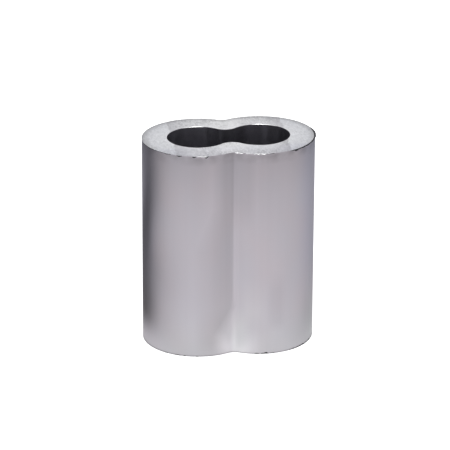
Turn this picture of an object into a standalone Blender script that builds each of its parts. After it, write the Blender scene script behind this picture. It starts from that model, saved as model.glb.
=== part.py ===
"""Hourglass sleeve: a figure-8 aluminium ferrule that is pressed onto wire rope to close an eye.

The real part is one length of extruded section, sawn off square, so it is one solid here.
The rope goes in through one barrel, round the thimble of the eye, and back out through the other.
The sleeve stands on its lower sawn end, centred on the origin. X runs from barrel to barrel,
Y runs across the waist, and Z runs along both bores. Lengths are in metres.
"""

import math

import bpy

MM = 0.001

# Driving dimensions, for one size of rope: 10 mm, or 3/8 inch.
ROPE_DIAMETER = 10.0 * MM
ROPE_CLEARANCE = 1.0 * MM  # on the diameter, so that both ends feed through by hand
WALL = 4.45 * MM
AXIS_TO_AXIS = 10.9 * MM  # just under the bore, so that the two circles run into each other
LENGTH = 38.1 * MM
NECK_WIDTH = 6.7 * MM  # the open gap where the two bores run into each other
WAIST_WIDTH = 17.3 * MM  # across the outer grooves between the barrels
EDGE_BREAK = 0.15 * MM  # the light deburring chamfer on every rim
ARC_STEP = math.radians(4)

BORE_RADIUS = (ROPE_DIAMETER + ROPE_CLEARANCE) / 2
BARREL_RADIUS = BORE_RADIUS + WALL
BARREL_OFFSET = AXIS_TO_AXIS / 2

# The finish of extruded aluminium, faintly violet under soft light.
ALUMINIUM_COLOUR = (0.72, 0.70, 0.74, 1.0)
ALUMINIUM_ROUGHNESS = 0.38
ALUMINIUM_METALLIC = 1.0


def clear_scene():
    """Remove whatever the startup file holds."""
    for obj in list(bpy.data.objects):
        bpy.data.objects.remove(obj, do_unlink=True)


def arc(centre, radius, start, end):
    """Points along an arc from start to end, both included, in steps of about ARC_STEP."""
    steps = max(2, round(abs(end - start) / ARC_STEP))
    angles = [start + (end - start) * i / steps for i in range(steps + 1)]
    return [(centre[0] + radius * math.cos(a), centre[1] + radius * math.sin(a)) for a in angles]


def figure_eight(radius, waist_width):
    """The closed outline, anticlockwise: two circles blended by a hollow fillet on each side of the waist.

    The fillet touches both circles, and its bottom leaves the waist at the width asked for.
    """
    half_waist = waist_width / 2
    fillet = (BARREL_OFFSET**2 + half_waist**2 - radius**2) / (2 * (radius - half_waist))
    fillet_centre_y = half_waist + fillet
    blend = math.atan2(fillet_centre_y, -BARREL_OFFSET)  # where the right circle meets the fillet
    right_barrel = arc((BARREL_OFFSET, 0.0), radius, -blend, blend)
    far_fillet = arc((0.0, fillet_centre_y), fillet, blend - math.pi, -blend)
    half = right_barrel + far_fillet[1:-1]
    return half + [(-x, -y) for x, y in half]


def add_outline(curve, points):
    """Add one closed polygon of points to the curve."""
    spline = curve.splines.new("POLY")
    spline.points.add(len(points) - 1)
    for point, (x, y) in zip(spline.points, points):
        point.co = (x, y, 0.0, 1.0)
    spline.use_cyclic_u = True


def extruded_section(name):
    """The figure-8 section with its joined bores, extruded to length, with every rim broken."""
    curve = bpy.data.curves.new(name, "CURVE")
    curve.dimensions = "2D"
    curve.fill_mode = "BOTH"
    curve.extrude = LENGTH / 2 - EDGE_BREAK
    curve.bevel_depth = EDGE_BREAK
    curve.bevel_resolution = 0
    curve.offset = -EDGE_BREAK
    add_outline(curve, figure_eight(BARREL_RADIUS, WAIST_WIDTH))
    add_outline(curve, list(reversed(figure_eight(BORE_RADIUS, NECK_WIDTH))))
    return bpy.data.objects.new(name, curve)


def aluminium():
    """Mill-finish aluminium, as it leaves the extrusion die."""
    material = bpy.data.materials.new("mill_aluminium")
    material.use_nodes = True
    shader = material.node_tree.nodes["Principled BSDF"]
    shader.inputs["Base Color"].default_value = ALUMINIUM_COLOUR
    shader.inputs["Roughness"].default_value = ALUMINIUM_ROUGHNESS
    shader.inputs["Metallic"].default_value = ALUMINIUM_METALLIC
    return material


def main():
    clear_scene()
    parts = bpy.data.collections.new("hourglass_sleeve")
    bpy.context.scene.collection.children.link(parts)
    sleeve = extruded_section("sleeve")
    sleeve.location.z = LENGTH / 2
    sleeve.data.materials.append(aluminium())
    parts.objects.link(sleeve)


main()
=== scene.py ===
"""Looks for the hourglass wire rope sleeve, standing on its lower sawn end.

The sleeve is one closed mesh, swept round its figure-8 section: satin extruded walls, sawn end faces,
two bores that run into each other, and the burrs and nicks that the saw left on the rims, with lines of
painted shade under and along them.
A column is one station round the section. A row is one station along the way up the wall, across the
upper face, down the bore and back under the lower face.
"""
import math

import bpy
import numpy as np
from mathutils import Matrix, Vector


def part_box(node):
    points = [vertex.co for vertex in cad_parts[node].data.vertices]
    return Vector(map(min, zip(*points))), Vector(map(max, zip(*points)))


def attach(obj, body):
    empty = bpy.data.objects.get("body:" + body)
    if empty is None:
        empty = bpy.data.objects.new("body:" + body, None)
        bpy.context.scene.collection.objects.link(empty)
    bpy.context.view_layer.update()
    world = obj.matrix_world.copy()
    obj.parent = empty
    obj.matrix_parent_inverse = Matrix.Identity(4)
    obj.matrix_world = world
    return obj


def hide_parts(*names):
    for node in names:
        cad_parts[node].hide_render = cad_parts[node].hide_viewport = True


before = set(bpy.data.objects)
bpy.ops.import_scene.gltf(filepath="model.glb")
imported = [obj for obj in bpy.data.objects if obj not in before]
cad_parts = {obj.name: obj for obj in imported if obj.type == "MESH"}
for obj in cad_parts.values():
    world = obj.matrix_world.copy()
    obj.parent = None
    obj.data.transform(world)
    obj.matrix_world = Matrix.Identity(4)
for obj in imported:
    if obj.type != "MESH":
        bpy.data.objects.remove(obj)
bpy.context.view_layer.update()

MM = 0.001

# ---------------------------------------------------------------- sizes, from the CAD solid
LOW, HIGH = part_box("sleeve")
LENGTH = HIGH.z - LOW.z
BARREL_RADIUS = (HIGH.y - LOW.y) / 2
BARREL_OFFSET = (HIGH.x - LOW.x) / 2 - BARREL_RADIUS
WALL = 4.45 * MM
BORE_RADIUS = BARREL_RADIUS - WALL
NECK_WIDTH = 6.7 * MM
WAIST_WIDTH = 17.3 * MM

BARREL_COLUMNS = 330
GROOVE_COLUMNS = 24
WALL_ROWS = 30
FACE_ROWS = 34
SMOOTH_ANGLE = math.radians(38)

RIM_SOFTNESS = 0.04 * MM  # the outer rims are left almost sharp
RIM_ZONE = 1.4 * MM  # the wall's plain rows stop this far from each end
BORE_RIM_ZONE = 0.5 * MM
BORE_EDGE_BREAK = 0.065 * MM  # where the bores are deburred
FACE_INSET = 0.10 * MM  # the end faces start this far inside the outer rims
FACE_TO_BORE = 0.06 * MM  # and stop this far from the bores' broken edges
FACE_SUNK = 0.008 * MM
ROLL_OFF_DEPTH, ROLL_OFF_WIDTH = 0.07 * MM, 0.4 * MM  # where the face rounds off towards its outer rim
UPPER_CUT_FALL = 0.0058  # the upper saw cut isn't quite square: its slope down to the left

# ---------------------------------------------------------------- marks on the rims
# Each is placed by its barrel (-1 left, 1 right) and by two angles about that barrel's axis, in degrees:
# 0 points to the right and -90 to the front.
UPPER_BURRS = (
    # barrel, from, to, leans out, hangs down
    (-1, -99, -87, 0.12 * MM, 0.10 * MM),
    (1, -123, -113, 0.17 * MM, 0.08 * MM),
    (1, -112, -104, 0.08 * MM, 0.08 * MM),
    (1, -105, -85, 0.12 * MM, 0.05 * MM),
    (1, -22, 18, 0.13 * MM, 0.02 * MM),
)
UPPER_NICKS = (
    # barrel, from, to, depth
    (-1, -133, -128, 0.10 * MM),
    (-1, -120, -112, 0.14 * MM),
    (-1, -103, -98, 0.18 * MM),
    (-1, -91, -85, 0.20 * MM),
)
UPPER_SHADE_LINES = (
    # barrel, from, to, height of the dark line, which is painted shade under the rim
    (1, -65, 16, 0.17 * MM),
    (1, -59, -50, 0.32 * MM),
    (1, -102, -82, 0.085 * MM),
    (-1, -172, -124, 0.09 * MM),
)
# The painted shade runs over the rim here: barrel, from, to. It covers this width of the face.
DARK_LIP = (1, -62, 15)
DARK_LIP_WIDTH = 0.10 * MM
DEBURRED = (
    # barrel, from, to: the bores' edges are broken here and painted bright, as fresh metal and as a
    # painted highlight, and sharp elsewhere
    (-1, 72, 114),
    (1, 46, 98),
    (-1, -118, -84),
    (1, -96, -60),
)
LOWER_NICKS = (
    # barrel, from, to, depth
    (1, -105, -79, 0.13 * MM),
    (1, -91, -87, 0.16 * MM),
    (1, -85, -82, 0.13 * MM),
    (1, -66, -4, 0.26 * MM),
    (-1, -99, -95, 0.16 * MM),
    (-1, -150, -100, 0.07 * MM),
)
MARK_FULLNESS = 0.7  # below 1, a mark comes to its full size close to its ends
FINE_LEAN, FINE_HANG = 0.010 * MM, 0.020 * MM  # how far the upper rim is turned over between its burrs
HEAVY_BURR = 0.04 * MM  # burrs that hang lower than this are painted bright, as fresh metal and as a painted highlight
LEAST_SHADE_LINE = 0.04 * MM  # painted shade lines lower than this aren't drawn
CREASE = 0.05 * MM  # burrs that hang lower than this have a line of painted shade behind them
# Lower nicks deeper than this get painted shade on the edge.
LEAST_DARK_NICK = 0.08 * MM
COARSE_PITCH, FINE_PITCH = 0.83, 0.51  # of the saw's marks, in mm

SEAMS = (
    # the die's seams down the front groove: place, width, height
    (0.05 * MM, 0.18 * MM, 0.020 * MM),
    (0.69 * MM, 0.09 * MM, 0.012 * MM),
    (1.05 * MM, 0.09 * MM, 0.010 * MM),
)
SEAM_WEAR = ((10 * MM, 26 * MM), (1.0, 0.25))  # heights, and what is left there of the seams
DIE_RELIEF = 0.006 * MM

# Materials, in the order of the mesh's slots.
# The last slot is painted shade: near-black lines along the rims.
WALL_METAL, SAWN_METAL, BORE_METAL, BRIGHT_METAL, PAINTED_SHADE = range(5)


# ---------------------------------------------------------------- the section
def figure_eight(radius, waist_width):
    """Points and outward normals of two circles joined by round grooves, one for each column."""
    half_waist = waist_width / 2
    groove_radius = (BARREL_OFFSET**2 + half_waist**2 - radius**2) / (2 * (radius - half_waist))
    meeting = math.atan2(half_waist + groove_radius, -BARREL_OFFSET)
    barrel = np.linspace(-meeting, meeting, BARREL_COLUMNS, endpoint=False)
    groove = np.linspace(meeting - math.pi, -meeting, GROOVE_COLUMNS, endpoint=False)
    barrel_way = np.column_stack((np.cos(barrel), np.sin(barrel)))
    groove_way = np.column_stack((np.cos(groove), np.sin(groove)))
    barrel_points = np.array((BARREL_OFFSET, 0)) + radius * barrel_way
    groove_points = np.array((0, half_waist + groove_radius)) + groove_radius * groove_way
    half_points = np.vstack((barrel_points, groove_points))
    half_normals = np.vstack((barrel_way, -groove_way))
    return np.vstack((half_points, -half_points)), np.vstack((half_normals, -half_normals))


OUTER, OUTER_NORMAL = figure_eight(BARREL_RADIUS, WAIST_WIDTH)
BORE, BORE_NORMAL = figure_eight(BORE_RADIUS, NECK_WIDTH)
COLUMNS = len(OUTER)
FRONT = OUTER[:, 1] < 0


def round_noise(seed, shortest, longest):
    """Smooth noise of about -1 to 1 that closes round the section, with waves of these lengths."""
    chance = np.random.RandomState(seed)
    girth = np.linalg.norm(np.diff(OUTER, axis=0, append=OUTER[:1]), axis=1).cumsum()
    waves = np.arange(int(girth[-1] / longest), int(girth[-1] / shortest))
    phases = chance.uniform(0, 2 * math.pi, len(waves))
    heights = chance.uniform(0.3, 1, len(waves))
    turns = 2 * math.pi * np.outer(girth / girth[-1], waves)
    total = (np.cos(turns + phases) * heights).sum(axis=1)
    return np.clip(total / (2 * total.std()), -1, 1)


def stretch(section, barrel, start, end, soft=0.25):
    """1 along this stretch of the section's edge and 0 off it, with soft ends."""
    side = np.where(section[:, 0] < 0, -1, 1)
    angle = np.degrees(np.arctan2(section[:, 1], section[:, 0] - side * BARREL_OFFSET))
    share = (angle - start) / (end - start)
    inside = np.minimum(share, 1 - share) / soft
    return np.clip(inside, 0, 1) ** MARK_FULLNESS * (side == barrel)


# ---------------------------------------------------------------- the rows
rows = []
surfaces = []


def add_row(section, outward, proud, height, surface):
    """One ring, this much proud of the section. surface is for the faces between it and the next ring."""
    proud = np.broadcast_to(proud, COLUMNS)
    height = np.broadcast_to(height, COLUMNS)
    rows.append(np.column_stack((section + outward * proud[:, None], height)))
    surfaces.append(np.broadcast_to(surface, COLUMNS))


def die_lines(seed):
    """Long low ridges that the extrusion die leaves, the same all along the bar."""
    broad = round_noise(seed, 2.5 * MM, 12 * MM)
    fine = round_noise(seed + 1, 0.4 * MM, 1.5 * MM)
    return DIE_RELIEF * (broad + 0.075 * fine)


def outer_wall():
    """The wall between the rim zones, with the die's lines and seams."""
    relief = die_lines(3)
    seams = np.zeros(COLUMNS)
    for place, width, height in SEAMS:
        seams += height * np.exp(-(((OUTER[:, 0] - place) / width) ** 2)) * FRONT
    for height in np.linspace(RIM_ZONE, LENGTH - RIM_ZONE, WALL_ROWS):
        left_of_seams = np.interp(height, *SEAM_WEAR)
        add_row(OUTER, OUTER_NORMAL, relief + seams * left_of_seams, height, WALL_METAL)


def upper_outer_rim():
    """The upper rim: burrs lean out and hang over the wall, nicks bite into it, painted shade lies below.
    """
    ragged = round_noise(11, 0.9 * MM, 5 * MM)
    lean = FINE_LEAN * (1 + ragged)
    hang = FINE_HANG * (1 + ragged)
    burred = np.zeros(COLUMNS)
    for barrel, start, end, out, down in UPPER_BURRS:
        on = stretch(OUTER, barrel, start, end)
        burred = np.maximum(burred, on * (down > HEAVY_BURR))
        lean = lean + on * out * (1 + 0.25 * ragged)
        hang = hang + on * down * (1 + 0.30 * ragged)
    bite = np.zeros(COLUMNS)
    for barrel, start, end, depth in UPPER_NICKS:
        bite = np.maximum(bite, depth * stretch(OUTER, barrel, start, end, 0.5))
    # Painted shade: the nicks and the listed lines under the rim get the near-black material.
    dark = bite * 0.8
    uneven = 0.9 + 0.25 * round_noise(12, 1.5 * MM, 6 * MM)
    for barrel, start, end, height in UPPER_SHADE_LINES:
        dark = np.maximum(dark, height * uneven * stretch(OUTER, barrel, start, end, 0.06))
    under = np.where(dark > LEAST_SHADE_LINE, PAINTED_SHADE, WALL_METAL)
    # Heavy burrs get the bright material: fresh metal and painted highlight.
    lip = np.where(burred > 0.5, BRIGHT_METAL, SAWN_METAL)
    # Painted shade also runs over the rim, and into the crease behind burrs that hang low.
    lip = np.where(stretch(OUTER, *DARK_LIP) > 0.1, PAINTED_SHADE, lip)
    crease = np.where(hang > CREASE, PAINTED_SHADE, lip)
    foot = LENGTH - hang - bite
    under_foot = 0.02 * MM
    for drop in (0.8 * MM, 0.5 * MM):
        add_row(OUTER, OUTER_NORMAL, 0.0, foot - drop, WALL_METAL)
    # The lip: from the top of the wall out to its tip, and back up to the end face.
    add_row(OUTER, OUTER_NORMAL, 0.0, foot - np.maximum(dark, 0.06 * MM) - under_foot, under)
    add_row(OUTER, OUTER_NORMAL, lean * 0.05, foot - under_foot, under)
    add_row(OUTER, OUTER_NORMAL, lean, foot + bite * 0.4, lip)
    add_row(OUTER, OUTER_NORMAL, lean * 0.75, LENGTH - hang * 0.55 - bite * 0.3, lip)
    add_row(OUTER, OUTER_NORMAL, lean * 0.2 - RIM_SOFTNESS, LENGTH - hang * 0.12 - RIM_SOFTNESS, crease)


def saw_relief(points):
    """Height of the marks of the saw blade, which ran across from barrel to barrel."""
    x = points[:, 0] / MM
    y = points[:, 1] / MM
    bow = x + 0.004 * y**2 + 0.12 * np.sin(0.9 * y + x)
    marks = np.sin(2 * math.pi * bow / COARSE_PITCH) + 0.6 * np.sin(2 * math.pi * bow / FINE_PITCH + 1.3)
    chatter = np.sin(1.7 * x + 0.4 * y) * np.sin(0.8 * y - 0.6 * x)
    return (0.002 * marks + 0.004 * chatter) * MM


def sawn_end(way, level, across_each):
    """Rings over an end face. way is 1 for the upper face and -1 for the lower one."""
    shaded_over = DARK_LIP_WIDTH * stretch(OUTER, *DARK_LIP) * (way > 0)
    edge = OUTER - OUTER_NORMAL * (FACE_INSET + shaded_over)[:, None]
    hole = BORE + BORE_NORMAL * (BORE_EDGE_BREAK + FACE_TO_BORE)
    for across in across_each:
        points = edge * (1 - across) + hole * across
        from_edge = across * np.linalg.norm(hole - edge, axis=1)
        roll_off = ROLL_OFF_DEPTH * np.clip(1 - from_edge / ROLL_OFF_WIDTH, 0, 1) ** 2
        sunk = FACE_SUNK + roll_off + np.abs(saw_relief(points))
        add_row(points, OUTER_NORMAL, 0.0, level - way * sunk, SAWN_METAL)


def bore_rim(way, level):
    """The bores' edge at the upper face (way 1) or at the lower one (way -1)."""
    broken = np.zeros(COLUMNS)
    for barrel, start, end in DEBURRED:
        broken = np.maximum(broken, stretch(BORE, barrel, start, end))
    width = BORE_EDGE_BREAK * (0.3 + 0.7 * broken) * (1 + 0.15 * round_noise(21, 2 * MM, 8 * MM))
    edge = np.where(broken > 0.15, BRIGHT_METAL, BORE_METAL)
    beyond = BORE_METAL if way > 0 else SAWN_METAL
    steps = (1.0, 0.70, 0.35, 0.0)[::way]
    for step in steps:
        drop = width * (1 - step) ** 0.9
        surface = beyond if step == steps[-1] else edge
        add_row(BORE, BORE_NORMAL, width * step, level - way * drop, surface)


def bore_wall():
    """Both bores, with their own die lines."""
    relief = die_lines(31)
    for height in np.linspace(LENGTH - BORE_RIM_ZONE, BORE_RIM_ZONE, WALL_ROWS):
        add_row(BORE, BORE_NORMAL, relief, height, BORE_METAL)


def lower_outer_rim():
    """The lower rim, with its nicks, and a little of the wall above it."""
    ragged = round_noise(41, 0.8 * MM, 4 * MM)
    bite = 0.03 * MM * (1 + ragged)
    for barrel, start, end, depth in LOWER_NICKS:
        bite = bite + depth * (0.7 + 0.3 * ragged) * stretch(OUTER, barrel, start, end, 0.3)
    # Painted shade: deep nicks darken the lower edge with the near-black material.
    edge = np.where(bite > LEAST_DARK_NICK, PAINTED_SHADE, WALL_METAL)
    add_row(OUTER, OUTER_NORMAL, -RIM_SOFTNESS - bite * 0.15, 0.0, edge)
    add_row(OUTER, OUTER_NORMAL, -bite * 0.15, RIM_SOFTNESS + bite * 0.4, edge)
    add_row(OUTER, OUTER_NORMAL, 0.0, RIM_SOFTNESS + bite, WALL_METAL)
    for height in (0.5 * MM, 0.9 * MM):
        add_row(OUTER, OUTER_NORMAL, 0.0, height, WALL_METAL)


def sleeve_mesh(materials):
    """The whole skin: each ring is joined to the next, and the last to the first."""
    outer_wall()
    upper_outer_rim()
    sawn_end(1, LENGTH, np.linspace(0, 1, FACE_ROWS))
    bore_rim(1, LENGTH)
    bore_wall()
    bore_rim(-1, 0.0)
    sawn_end(-1, 0.0, np.linspace(1, 0, FACE_ROWS // 2))
    lower_outer_rim()
    ring = np.arange(COLUMNS)
    following = np.roll(ring, -1)
    faces = []
    for row in range(len(rows)):
        here = row * COLUMNS
        above = (row + 1) % len(rows) * COLUMNS
        faces.append(np.column_stack((here + ring, here + following, above + following, above + ring)))
    points = np.vstack(rows)
    # The rows are spread out evenly up to the sloping cut.
    points[:, 2] *= 1 + UPPER_CUT_FALL * (points[:, 0] - BARREL_OFFSET) / LENGTH
    mesh = bpy.data.meshes.new("extruded_sleeve")
    mesh.from_pydata(points.tolist(), [], np.vstack(faces).tolist())
    for material in materials:
        mesh.materials.append(material)
    mesh.polygons.foreach_set("material_index", np.concatenate(surfaces).astype(np.int32))
    mesh.shade_smooth()
    mesh.set_sharp_from_angle(angle=SMOOTH_ANGLE)
    mesh.update()
    sleeve = bpy.data.objects.new("extruded_sleeve", mesh)
    bpy.context.scene.collection.objects.link(sleeve)
    return sleeve


# ---------------------------------------------------------------- materials
BLACK = (0.0, 0.0, 0.0)
WHITE = (1.0, 1.0, 1.0)
PAINTED_HIGHLIGHT = (0.98, 0.96, 0.98)
WALL_COLOURS = (0.742, 0.684, 0.742), (0.726, 0.690, 0.756)
# Painted light and shade on the front wall: patches of black or white mixed into the colour.
WALL_PAINTED_LIGHT_AND_SHADE = (
    # strength, colour, and the borders: an axis and the places, in mm, of none and all of the patch
    # painted shade, on the groove's right flank
    (0.09, BLACK, (("X", -0.8, -0.2), ("X", 3.8, 2.4), ("Z", 23, 29))),
    # painted highlight, at the groove's foot and on the right barrel above it
    (0.24, PAINTED_HIGHLIGHT, (("X", -0.5, 0.1), ("X", 3.2, 1.4), ("Z", 9, 5))),
    (0.15, PAINTED_HIGHLIGHT, (("X", 1.0, 2.5), ("X", 6.3, 4.3), ("Z", 5, 8), ("Z", 15, 9))),
    # painted shade, on the right barrel near its foot
    (0.06, BLACK, (("X", 5.8, 7.0), ("X", 9.4, 8.2), ("Z", 4, 6), ("Z", 16, 12))),
    # painted shade and soil, under the right barrel's burrs
    (0.14, BLACK, (("X", 3.0, 4.2), ("X", 7.8, 6.0), ("Z", 36.8, 37.5))),
)
# The sawn face's tones: by the neck, along the barrels, just before the end zones, and in the end zones.
FACE_BY_NECK = (0.91, 0.905, 0.91)
FACE_ALONG = (0.80, 0.795, 0.81)
FACE_BEFORE_END = (0.58, 0.575, 0.60)
FACE_END = (0.765, 0.77, 0.80)
FACE_IN_FRONT = (0.30, 0.29, 0.60)  # a little of this is mixed in along the front
FACE_BY_BORE = (0.97, 0.97, 0.98)
# painted shade along the face's outer edge, darkest at the back
FACE_EDGE_SHADE = (0.03, 0.03, 0.03)
# dark base colours for the bores: painted shade of the deep bores
BORE_SHADE_COLOURS = (0.345, 0.335, 0.38), (0.437, 0.425, 0.483)
BORE_PAINTED_SHADE = (
    # an axis, the places, in mm, where the painted shade starts and where it is full, and how dark it is
    # there
    ("X", 7.0, 10.8, 0.42),
    ("X", -9.6, -10.8, 0.38),
    ("Z", 34.0, 38.0, 0.20),
)
NECK_PAINTED_SHADE = (3.6 * MM, 1.8 * MM, 0.30)  # the same, by the distance from the neck
# fresh metal, brightened as a painted highlight on the burrs and broken edges
CUT_AND_HIGHLIGHT_COLOURS = (0.84, 0.84, 0.85), (0.95, 0.95, 0.95)
# near-black colours of the painted shade along the rims
PAINTED_SHADE_COLOURS = (0.006, 0.006, 0.008), (0.05, 0.048, 0.055)


def node(tree, kind, inputs=None, **settings):
    """A new node with its settings, and its inputs set to a value or linked to a socket."""
    made = tree.nodes.new("ShaderNode" + kind)
    for name, value in settings.items():
        setattr(made, name, value)
    for name, value in (inputs or {}).items():
        if isinstance(value, bpy.types.NodeSocket):
            tree.links.new(value, made.inputs[name])
        else:
            made.inputs[name].default_value = value
    return made


def metal(name, metallic=1.0):
    """A new material with its Principled shader."""
    material = bpy.data.materials.new(name)
    material.use_nodes = True
    shader = material.node_tree.nodes["Principled BSDF"]
    shader.inputs["Metallic"].default_value = metallic
    return material, material.node_tree, shader


def finish(tree, shader, colour, roughness, height=None, strength=0.0, depth=0.0):
    """Links colour and roughness to the shader, and a bump of this depth in metres."""
    tree.links.new(colour, shader.inputs["Base Color"])
    tree.links.new(roughness, shader.inputs["Roughness"])
    if height is not None:
        bump = node(tree, "Bump", {"Height": height, "Strength": strength, "Distance": depth})
        tree.links.new(bump.outputs["Normal"], shader.inputs["Normal"])


def place_on(tree, squeeze=(1, 1, 1)):
    """The place on the object, in metres, squeezed by a scale for each axis."""
    place = node(tree, "TexCoord").outputs["Object"]
    return node(tree, "Mapping", {"Vector": place, "Scale": squeeze}).outputs["Vector"]


def noise(tree, place, size, detail=2.0, roughness=0.5):
    """Noise with features of about this size, in metres."""
    inputs = {"Vector": place, "Scale": 1 / size, "Detail": detail, "Roughness": roughness}
    return node(tree, "TexNoise", inputs).outputs["Fac"]


def spread(tree, value, start, end, low=0.0, high=1.0, curve="LINEAR"):
    """Maps start to end onto low to high, and holds the ends."""
    inputs = {"Value": value, "From Min": start, "From Max": end, "To Min": low, "To Max": high}
    return node(tree, "MapRange", inputs, interpolation_type=curve).outputs["Result"]


def calc(tree, operation, first, second=0.0):
    """One sum on two numbers, each a socket or a value."""
    return node(tree, "Math", {0: first, 1: second}, operation=operation).outputs[0]


def blend(tree, factor, first, second):
    """Mixes two colours, each a socket or three numbers, by a factor of 0 to 1."""
    made = node(tree, "Mix", {"Factor": factor}, data_type="RGBA")
    for socket, colour in ((made.inputs[6], first), (made.inputs[7], second)):
        if isinstance(colour, bpy.types.NodeSocket):
            tree.links.new(colour, socket)
        else:
            socket.default_value = (*colour, 1)
    return made.outputs[2]


def blend_value(tree, factor, first, second):
    """Mixes two numbers, each a socket or a value, by a factor of 0 to 1."""
    made = node(tree, "Mix", {"Factor": factor}, data_type="FLOAT")
    for socket, value in ((made.inputs[2], first), (made.inputs[3], second)):
        if isinstance(value, bpy.types.NodeSocket):
            tree.links.new(value, socket)
        else:
            socket.default_value = value
    return made.outputs[0]


def darken(tree, factor, colour):
    """The colour mixed with this much black."""
    return blend(tree, factor, colour, BLACK)


def front_patch(tree, split, borders=()):
    """1 on a patch of the front wall, 0 off it. A border is an axis and the places, in mm, of 0 and 1."""
    patch = spread(tree, split.outputs["Y"], -5 * MM, -6 * MM)
    for axis, empty, full in borders:
        inside = spread(tree, split.outputs[axis], empty * MM, full * MM)
        patch = calc(tree, "MULTIPLY", patch, inside)
    return patch


def painted_flank_shade(tree, split):
    """How much painted shade lies on the groove's left flank.

    It is a band that narrows towards the top. At the foot its right border bends to the left and softens.
    """
    x, z = split.outputs["X"], split.outputs["Z"]
    left = spread(tree, z, 20 * MM, 28 * MM, -7.3 * MM, -4.0 * MM)
    width = spread(tree, z, 20 * MM, 28 * MM, 4.8 * MM, 2.2 * MM)
    rising = calc(tree, "DIVIDE", calc(tree, "SUBTRACT", x, left), width)
    right = spread(tree, z, 3.6 * MM, 8.8 * MM, -2.75 * MM, -0.15 * MM)
    softness = spread(tree, z, 4 * MM, 11 * MM, 2.8 * MM, 0.35 * MM)
    ending = calc(tree, "DIVIDE", calc(tree, "SUBTRACT", right, x), softness)
    across = calc(tree, "MULTIPLY", spread(tree, rising, 0, 1), spread(tree, ending, -0.5, 0.5))
    at_foot = spread(tree, z, 0, 2.5 * MM, 0.14, 0.28)
    further_up = spread(tree, z, 3.5 * MM, 9 * MM, 1, 0.61)
    strength = calc(tree, "MULTIPLY", at_foot, further_up)
    band = calc(tree, "MULTIPLY", across, strength)
    return calc(tree, "MULTIPLY", band, front_patch(tree, split))


def extruded_wall():
    """Satin mill finish: drifts of colour, lines along the bar, patches of painted shade and painted
    highlight in front.
    """
    material, tree, shader = metal("extruded_wall")
    drift = spread(tree, noise(tree, place_on(tree, (1, 1, 0.6)), 6 * MM, 1.5), 0.3, 0.7)
    cloud = spread(tree, noise(tree, place_on(tree, (1, 1, 0.45)), 11 * MM, 1.0), 0.3, 0.7)
    lines = noise(tree, place_on(tree, (1, 1, 0.004)), 0.6 * MM, 1.0)
    colour = blend(tree, drift, *WALL_COLOURS)
    colour = darken(tree, spread(tree, cloud, 0, 1, 0.0, 0.055), colour)
    colour = darken(tree, spread(tree, lines, 0.35, 0.65, 0.0, 0.009), colour)
    split = node(tree, "SeparateXYZ", {"Vector": place_on(tree)})
    # Painted shade on the groove's left flank.
    colour = darken(tree, painted_flank_shade(tree, split), colour)
    # Patches of painted shade and painted highlight on the front wall.
    for strength, patch_colour, borders in WALL_PAINTED_LIGHT_AND_SHADE:
        patch = calc(tree, "MULTIPLY", front_patch(tree, split, borders), strength)
        colour = blend(tree, patch, colour, patch_colour)
    # Soil and painted shade: smears darken the wall just under the upper rim.
    smears = spread(tree, noise(tree, place_on(tree), 2.2 * MM, 2.0), 0.35, 0.65)
    under_rim = spread(tree, split.outputs["Z"], 36.0 * MM, 37.6 * MM)
    soil_and_shade = calc(tree, "MULTIPLY", smears, under_rim)
    colour = darken(tree, calc(tree, "MULTIPLY", soil_and_shade, 0.22), colour)
    roughness = spread(tree, lines, 0.3, 0.7, 0.275, 0.285)
    finish(tree, shader, colour, roughness, lines, 0.01, 0.006 * MM)
    return material


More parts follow.
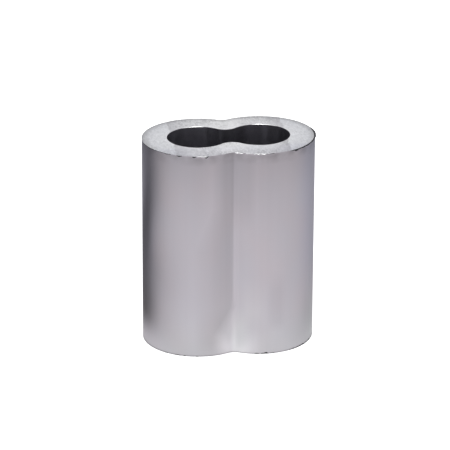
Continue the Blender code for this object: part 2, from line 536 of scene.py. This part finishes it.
def sawn_face():
    """Sawn end: grain that comes and goes, smooth where the blade ran in and out, light by the bores,
    with painted shade along the outer edge and in the grain's pits.
    """
    material, tree, shader = metal("sawn_face")
    place = place_on(tree)
    grain = noise(tree, place, 0.24 * MM, 3.0, 0.7)
    lines = noise(tree, place_on(tree, (1, 0.3, 1)), 0.35 * MM, 2.0)
    texture = calc(tree, "ADD", calc(tree, "MULTIPLY", grain, 0.65), calc(tree, "MULTIPLY", lines, 0.35))
    texture = spread(tree, texture, 0.38, 0.62)
    split = node(tree, "SeparateXYZ", {"Vector": place})
    from_middle = calc(tree, "ABSOLUTE", split.outputs["X"])
    wander = spread(tree, noise(tree, place, 2.2 * MM), 0.3, 0.7, -0.25 * MM, 0.25 * MM)
    near_end = calc(tree, "ADD", from_middle, wander)
    end_zone = spread(tree, near_end, 9.95 * MM, 10.3 * MM, curve="SMOOTHSTEP")

    tone = blend(tree, spread(tree, near_end, 1.0 * MM, 3.2 * MM), FACE_BY_NECK, FACE_ALONG)
    tone = blend(tree, spread(tree, near_end, 6.6 * MM, 9.7 * MM), tone, FACE_BEFORE_END)
    tone = blend(tree, end_zone, tone, FACE_END)
    patch = spread(tree, noise(tree, place, 1.0 * MM, 1.0), 0.3, 0.7, 0.0, 0.11)
    tone = darken(tree, patch, tone)
    in_front = spread(tree, split.outputs["Y"], -6 * MM, -5 * MM, 0.07, 0.0)
    tone = blend(tree, in_front, tone, FACE_IN_FRONT)
    across_barrel = calc(tree, "SUBTRACT", from_middle, BARREL_OFFSET)
    spoke = node(tree, "CombineXYZ", {"X": across_barrel, "Y": split.outputs["Y"]}).outputs[0]
    reach = node(tree, "VectorMath", {0: spoke}, operation="LENGTH").outputs["Value"]
    by_bore = spread(tree, reach, 8.8 * MM, 5.9 * MM)
    lighter = calc(tree, "MULTIPLY", by_bore, spread(tree, end_zone, 0, 1, 0.20, 0.38))
    tone = blend(tree, lighter, tone, FACE_BY_BORE)
    # Painted shade along the face's outer edge, strongest at the back.
    edge_shade = spread(tree, reach, BARREL_RADIUS - 1.3 * MM, BARREL_RADIUS, 0.0, 0.46)
    edge_shade = calc(tree, "MULTIPLY", edge_shade, spread(tree, split.outputs["Y"], -5 * MM, -1 * MM, 0.25, 1.0))
    tone = blend(tree, edge_shade, tone, FACE_EDGE_SHADE)

    torn = spread(tree, noise(tree, place, 3.5 * MM, 1.0), 0.38, 0.62, 0.14, 0.38)
    depth = blend_value(tree, end_zone, torn, 0.20)
    # The grain's pits are painted darker and its peaks lighter: painted shade and light on the relief.
    shaded_pits = darken(tree, depth, tone)
    lit = blend(tree, 0.12, tone, WHITE)
    colour = blend(tree, texture, shaded_pits, lit)
    relief = calc(tree, "MULTIPLY", texture, depth)
    finish(tree, shader, colour, spread(tree, texture, 0, 1, 0.46, 0.56), relief, 0.4, 0.08 * MM)
    return material


def bore_wall_metal():
    """Bores painted dark as painted shade, darkest in the neck, at the far sides and near the top."""
    material, tree, shader = metal("bore_wall")
    lines = noise(tree, place_on(tree, (1, 1, 0.02)), 1.2 * MM, 2.0)
    stain = spread(tree, noise(tree, place_on(tree), 2.5 * MM, 3.0), 0.3, 0.7)
    colour = blend(tree, stain, *BORE_SHADE_COLOURS)
    split = node(tree, "SeparateXYZ", {"Vector": place_on(tree)})
    # Painted shade, darkest in the neck, at the far sides and near the top.
    unshaded, shaded_over, shade_darkness = NECK_PAINTED_SHADE
    from_neck = calc(tree, "ABSOLUTE", split.outputs["X"])
    colour = darken(tree, spread(tree, from_neck, unshaded, shaded_over, 0, shade_darkness), colour)
    for axis, unshaded, shaded_over, shade_darkness in BORE_PAINTED_SHADE:
        dark = spread(tree, split.outputs[axis], unshaded * MM, shaded_over * MM, 0, shade_darkness)
        colour = darken(tree, dark, colour)
    finish(tree, shader, colour, spread(tree, lines, 0.3, 0.7, 0.34, 0.42), lines, 0.05, 0.02 * MM)
    return material


def bright_edge():
    """Freshly cut metal on the burrs and the broken edges, made brighter as a painted highlight."""
    material, tree, shader = metal("bright_edge")
    shine = spread(tree, noise(tree, place_on(tree), 0.5 * MM), 0.3, 0.7)
    colour = blend(tree, shine, *CUT_AND_HIGHLIGHT_COLOURS)
    finish(tree, shader, colour, spread(tree, shine, 0, 1, 0.28, 0.40))
    return material


def rim_painted_shade():
    """Painted shade: near-black lines under and over the upper rim, behind low burrs and in deep lower
    nicks.
    """
    material, tree, shader = metal("rim_painted_shade", 0.0)
    patch = spread(tree, noise(tree, place_on(tree), 0.5 * MM), 0.3, 0.7)
    colour = blend(tree, patch, *PAINTED_SHADE_COLOURS)
    finish(tree, shader, colour, spread(tree, patch, 0, 1, 0.75, 0.9))
    shader.inputs["Specular IOR Level"].default_value = 0.1
    return material


# ---------------------------------------------------------------- camera
VIEW_AZIMUTH = math.radians(-7.08)
VIEW_ELEVATION = math.radians(21.35)
VIEW_ROLL = math.radians(0.248)
VIEW_DISTANCE = 517.0 * MM
AIM_LEFT, AIM_UP = 0.555 * MM, 1.921 * MM  # from the sleeve's middle to the middle of the view
LENS_MM, SENSOR_MM = 230.6, 36.0
TO_CAMERA = Vector((math.sin(VIEW_AZIMUTH), -math.cos(VIEW_AZIMUTH), 0))
CAMERA_RIGHT = Vector((math.cos(VIEW_AZIMUTH), math.sin(VIEW_AZIMUTH), 0))


def camera():
    """A long lens at the photograph's viewing angle, aimed a little left of the sleeve and above it."""
    back = TO_CAMERA * math.cos(VIEW_ELEVATION) + Vector((0, 0, math.sin(VIEW_ELEVATION)))
    up = back.cross(CAMERA_RIGHT)
    right = CAMERA_RIGHT * math.cos(VIEW_ROLL) + up * math.sin(VIEW_ROLL)
    up = back.cross(right)
    aim = Vector((0, 0, LENGTH / 2)) - right * AIM_LEFT + up * AIM_UP
    lens = bpy.data.cameras.new("camera")
    lens.lens = LENS_MM
    lens.sensor_width = SENSOR_MM
    eye = bpy.data.objects.new("camera", lens)
    eye.location = aim + back * VIEW_DISTANCE
    eye.rotation_euler = Matrix((right, up, back)).transposed().to_euler()
    bpy.context.scene.collection.objects.link(eye)
    bpy.context.scene.camera = eye


# ---------------------------------------------------------------- stage
# The metal mirrors a glowing card on the table, which the camera doesn't see: painted light and shade
# that stand for a lit table. Its brightness falls with the gap to the sleeve, in mm, and with the angle
# round from the camera's side, in degrees: a dark flag is painted on it at the left, towards the back. A
# curve is a row of points, with straight lines between them.
POOL = (  # brightness by the gap
    (0, 0.815), (8, 0.785), (30, 0.72), (60, 0.71), (85, 0.71), (95, 0.67),
    (112, 0.34), (160, 0.22), (600, 0.22),
)
CONTACT = ((0, 0.35), (0.4, 1))  # painted contact shadow: the card is darker where the sleeve stands on it
# What is left of the brightness, by the angle.
LEFT = (
    (0, 1.0), (20, 1.0), (38, 0.97), (58, 0.88), (75, 0.77), (88, 0.69), (100, 0.46),
    (110, 0.26), (122, 0.15), (155, 0.14), (170, 0.40), (180, 0.55),
)
RIGHT = (
    (0, 1.0), (45, 0.97), (80, 0.865), (95, 0.79), (110, 0.70), (125, 0.59),
    (145, 0.53), (180, 0.52),
)
# Close to the base both sides are more alike. The last two say over which gaps that ends.
BESIDE_LEFT = ((0, 1.0), (60, 0.86), (85, 0.715), (110, 0.52), (125, 0.46), (140, 0.425), (180, 0.41))
BESIDE_RIGHT = ((0, 1.0), (70, 0.84), (95, 0.79), (115, 0.68), (130, 0.62), (180, 0.60))
OFF_BASE_LEFT = ((1, 0), (10, 1))
OFF_BASE_RIGHT = ((4, 0), (16, 1))
# The flag's edge isn't straight: how far it comes forward, in degrees, by the gap, and the part of that
# by the angle.
FLAG_EDGE = (
    (0, 14), (8, 20), (16, 19), (25, 12), (37, 16), (48, 0), (53, -2), (60, -2),
    (70, 18), (78, 26), (84, 18), (92, 6), (200, 6),
)
FLAG_PART = ((20, 0), (70, 1), (128, 1), (155, 0.35))
# Nor is it evenly soft: how steep it is, by the gap, within this reach of its middle.
FLAG_STEEPNESS = ((20, 1.0), (36, 0.56), (46, 1.2), (58, 1.45), (70, 1.35), (80, 1.2))
FLAG_MIDDLE, FLAG_REACH = 98, 40
FLAG_LIGHTER = ((72, 0), (90, 0.16))  # far out the flag is less dark, by the gap
SPOTS = (
    # soft spots that are lighter, or darker, than the rest: place, width and depth in mm, brightness
    (1.4, -11.5, 1.9, 4.6, 0.195),
    (11.0, -15.0, 5.0, 7.0, 0.05),
    (25.0, 1.0, 7.0, 5.0, -0.07),
    (-70.0, 45.0, 14.0, 14.0, -0.035),
    (-48.0, -9.0, 10.0, 9.0, -0.03),
    (-76.0, 36.0, 14.0, 22.0, -0.03),
)
# Close to the sleeve the card is a little greener, except at the left.
NEAR_TINT = (0.955, 1.0, 0.97)
NEAR_GAPS = ((5, 1), (22, 0))
NEAR_ANGLES = ((-90, 0), (-50, 1))
# It is bluer at both sides, away from the base.
ASIDE_TINT = (0.96, 1.0, 1.09)
ASIDE_GAPS = ((12, 0), (40, 1))
ASIDE_ANGLES = ((80, 0), (115, 1))

RING_GAPS = [0.0, 0.15, 0.3, 0.5] + [0.8 * 1.2**step for step in range(37)]  # in mm
CARD_COLUMN_STEP = 3  # the card has one column for this many of the sleeve's
CARD_HEART = 0.02  # the innermost ring, as a part of the outline's size
CARD_HEIGHT = 0.02 * MM

FLOOR_HALF = 3.0  # in metres, like the places below
FLOOR_GREY = 0.9
FLOOR_GLOW = 0.55  # the floor shines a little, so that it stays white round the sleeve
SKY_GREY = (0.98, 0.985, 1, 1)
SKY_STRENGTH = 0.88
OVERHEAD_PLACE = (-0.02, -0.28, 0.62)
OVERHEAD_SIZE = 0.30
OVERHEAD_WATTS = 1.1


def along(curve, value):
    """The height of a curve at this value."""
    places, heights = zip(*curve)
    return float(np.interp(value, places, heights))


def card_tone(place, gap):
    """The colour of the card at a place that is this gap away from the sleeve."""
    angle = math.degrees(math.atan2(place.dot(CAMERA_RIGHT), place.dot(TO_CAMERA)))
    if angle > 0:
        beside_base = along(BESIDE_RIGHT, angle)
        side = along(RIGHT, angle)
        off_base = along(OFF_BASE_RIGHT, gap)
    else:
        beside_base = along(BESIDE_LEFT, -angle)
        turned = along(FLAG_EDGE, gap) * along(FLAG_PART, -angle) - angle
        from_edge = min(max(turned - FLAG_MIDDLE, -FLAG_REACH), FLAG_REACH)
        turned += from_edge * (along(FLAG_STEEPNESS, gap) - 1)
        side = along(LEFT, turned)
        side += (1 - side) * along(FLAG_LIGHTER, gap)
        off_base = along(OFF_BASE_LEFT, gap)
    side = beside_base + (side - beside_base) * off_base
    gathered = 0
    for x, y, width, depth, bright in SPOTS:
        away = ((place.x / MM - x) / width) ** 2 + ((place.y / MM - y) / depth) ** 2
        gathered += bright * math.exp(-away / 2)
    tone = along(CONTACT, gap) * (along(POOL, gap) * side + gathered)
    near = along(NEAR_GAPS, gap) * along(NEAR_ANGLES, angle)
    aside = along(ASIDE_GAPS, gap) * along(ASIDE_ANGLES, abs(angle))
    colour = []
    for close, far in zip(NEAR_TINT, ASIDE_TINT):
        colour.append(tone * (1 + (close - 1) * near) * (1 + (far - 1) * aside))
    return colour


def reflection_card():
    """Rings on the table that grow from the sleeve's own outline, and are dark inside it."""
    outline = [Vector((x, y, 0)) for x, y in OUTER[::CARD_COLUMN_STEP]]
    points = [place * CARD_HEART for place in outline]
    tones = [BLACK] * len(outline)
    for gap in RING_GAPS:
        for place in outline:
            spot = place * (1 + gap * MM / place.length)
            points.append(spot)
            tones.append(card_tone(spot, gap))
    ring = len(outline)
    faces = []
    for inner in range(0, len(points) - ring, ring):
        for turn in range(ring):
            following = (turn + 1) % ring
            outer = inner + ring
            faces.append((inner + turn, inner + following, outer + following, outer + turn))
    mesh = bpy.data.meshes.new("reflection_card")
    mesh.from_pydata(points, [], faces)
    tone = mesh.color_attributes.new("tone", "FLOAT_COLOR", "POINT")
    for spot, bright in zip(tone.data, tones):
        spot.color = (*bright, 1)
    material = bpy.data.materials.new("reflection_card")
    material.use_nodes = True
    tree = material.node_tree
    tree.nodes.clear()
    # The card's painted light and shade, given off as a glow.
    painted_glow = node(tree, "Attribute", attribute_name="tone").outputs["Color"]
    glow = node(tree, "Emission", {"Color": painted_glow})
    node(tree, "OutputMaterial", {"Surface": glow.outputs["Emission"]})
    mesh.materials.append(material)
    card = bpy.data.objects.new("reflection_card", mesh)
    card.location.z = CARD_HEIGHT
    card.visible_camera = False
    card.visible_diffuse = False
    card.visible_shadow = False
    bpy.context.scene.collection.objects.link(card)


def floor():
    """A plain white table."""
    near, far = -FLOOR_HALF, FLOOR_HALF
    corners = ((near, near, LOW.z), (far, near, LOW.z), (far, far, LOW.z), (near, far, LOW.z))
    mesh = bpy.data.meshes.new("floor")
    mesh.from_pydata(corners, [], [(0, 1, 2, 3)])
    material, _, shader = metal("floor", 0.0)
    shader.inputs["Base Color"].default_value = (FLOOR_GREY, FLOOR_GREY, FLOOR_GREY, 1)
    shader.inputs["Roughness"].default_value = 1.0
    shader.inputs["Specular IOR Level"].default_value = 0.0
    shader.inputs["Emission Color"].default_value = (1, 1, 1, 1)
    shader.inputs["Emission Strength"].default_value = FLOOR_GLOW
    mesh.materials.append(material)
    table = bpy.data.objects.new("floor", mesh)
    table.visible_glossy = False
    bpy.context.scene.collection.objects.link(table)


def overhead_light():
    """A square soft box over the front, which faces the sleeve."""
    light = bpy.data.lights.new("overhead_box", "AREA")
    light.size = OVERHEAD_SIZE
    light.energy = OVERHEAD_WATTS
    lamp = bpy.data.objects.new("overhead_box", light)
    lamp.location = OVERHEAD_PLACE
    to_sleeve = Vector((0, 0, LENGTH / 2)) - Vector(OVERHEAD_PLACE)
    lamp.rotation_euler = to_sleeve.to_track_quat("-Z", "Y").to_euler()
    lamp.visible_camera = False
    bpy.context.scene.collection.objects.link(lamp)


def studio():
    """White all round to the camera, and a soft grey to everything else."""
    world = bpy.data.worlds.new("studio")
    world.use_nodes = True
    bpy.context.scene.world = world
    tree = world.node_tree
    tree.nodes.clear()
    white = node(tree, "Background", {"Color": (1, 1, 1, 1), "Strength": 1.0})
    grey = node(tree, "Background", {"Color": SKY_GREY, "Strength": SKY_STRENGTH})
    seen = node(tree, "LightPath").outputs["Is Camera Ray"]
    both = node(tree, "MixShader", {0: seen, 1: grey.outputs[0], 2: white.outputs[0]})
    node(tree, "OutputWorld", {"Surface": both.outputs[0]})
    overhead_light()
    bpy.context.scene.view_settings.view_transform = "Standard"


sleeve = sleeve_mesh((extruded_wall(), sawn_face(), bore_wall_metal(), bright_edge(), rim_painted_shade()))
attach(sleeve, "root")
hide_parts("sleeve")
camera()
reflection_card()
floor()
studio()
